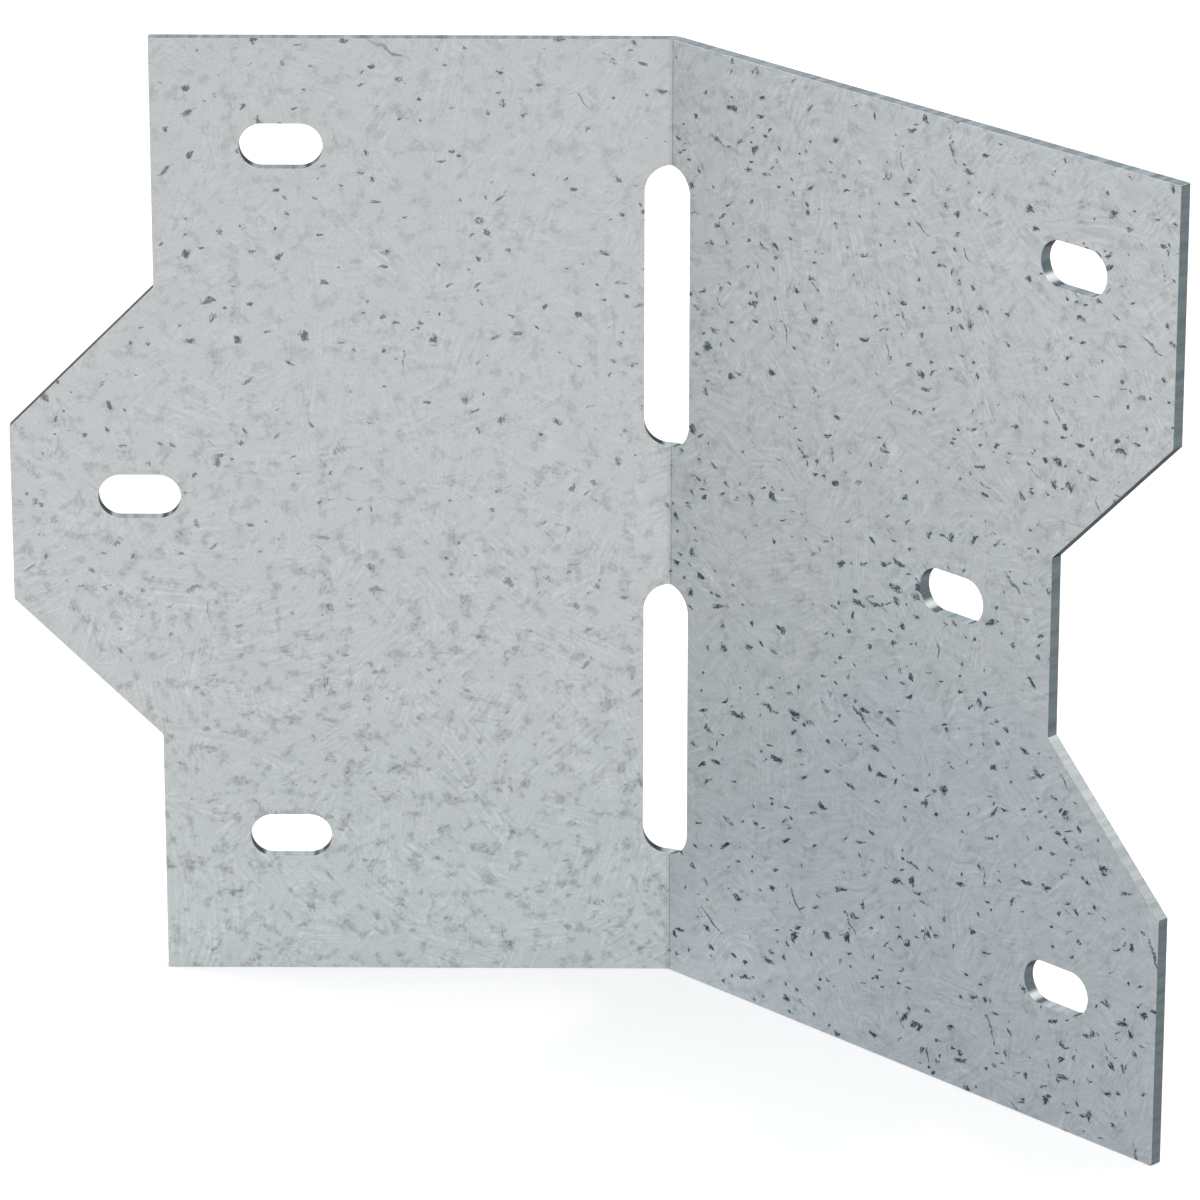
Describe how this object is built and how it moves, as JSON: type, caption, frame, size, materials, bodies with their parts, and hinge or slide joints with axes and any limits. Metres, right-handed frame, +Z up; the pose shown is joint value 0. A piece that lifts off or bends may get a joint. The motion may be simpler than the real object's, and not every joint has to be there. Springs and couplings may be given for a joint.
{
  "type": "skewable angle",
  "caption": "Flat steel connector folded along a slotted line, with a tab on one leg, a matching notch in the other and slotted nail holes, for joining timbers that meet on the skew.",
  "frame": {"origin": "lower end of the fold, on the line where the planes of the two back faces meet", "axes": "+Z up along the fold, +Y out of leg A's back face, -X from the fold along leg A; leg B runs towards +X and -Y"},
  "size_m": [0.0981, 0.0415, 0.0857],
  "materials": {
    "galvanised_steel": "hot-dip galvanised, fine feathery spangle with small grey specks"
  },
  "bodies": {
    "root": {"skewable_angle": "galvanised_steel"}
  },
  "joints": []
}
